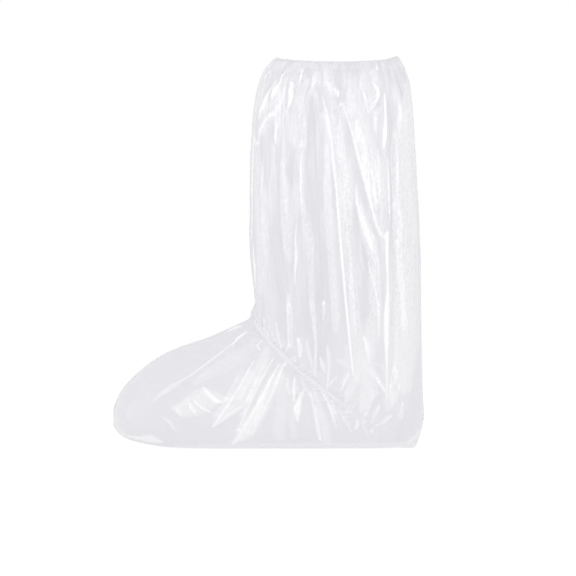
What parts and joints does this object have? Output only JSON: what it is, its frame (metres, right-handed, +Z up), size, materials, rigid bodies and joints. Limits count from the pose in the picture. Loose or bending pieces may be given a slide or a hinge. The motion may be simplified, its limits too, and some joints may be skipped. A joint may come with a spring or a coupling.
{
  "type": "boot cover",
  "caption": "Tall disposable boot cover of milky plastic film, worn: gathered elastic top, elastic strip across each side of the ankle, welded edges, flat sole.",
  "frame": {"origin": "on the inner face of the sole, in the middle plane, under the middle of the leg: where the shoe stands inside", "axes": "+Z up the leg, -X to the toe, -Y to the wearer's left"},
  "size_m": [0.3648, 0.1576, 0.4578],
  "materials": {
    "film": "thin milky polyethylene film, glossy, faintly see-through, finely creased",
    "elastic": "matt white elastic strip"
  },
  "bodies": {
    "root": {"left_panel": "film", "right_panel": "film", "top_elastic": "elastic", "left_ankle_elastic": "elastic", "right_ankle_elastic": "elastic"}
  },
  "joints": []
}
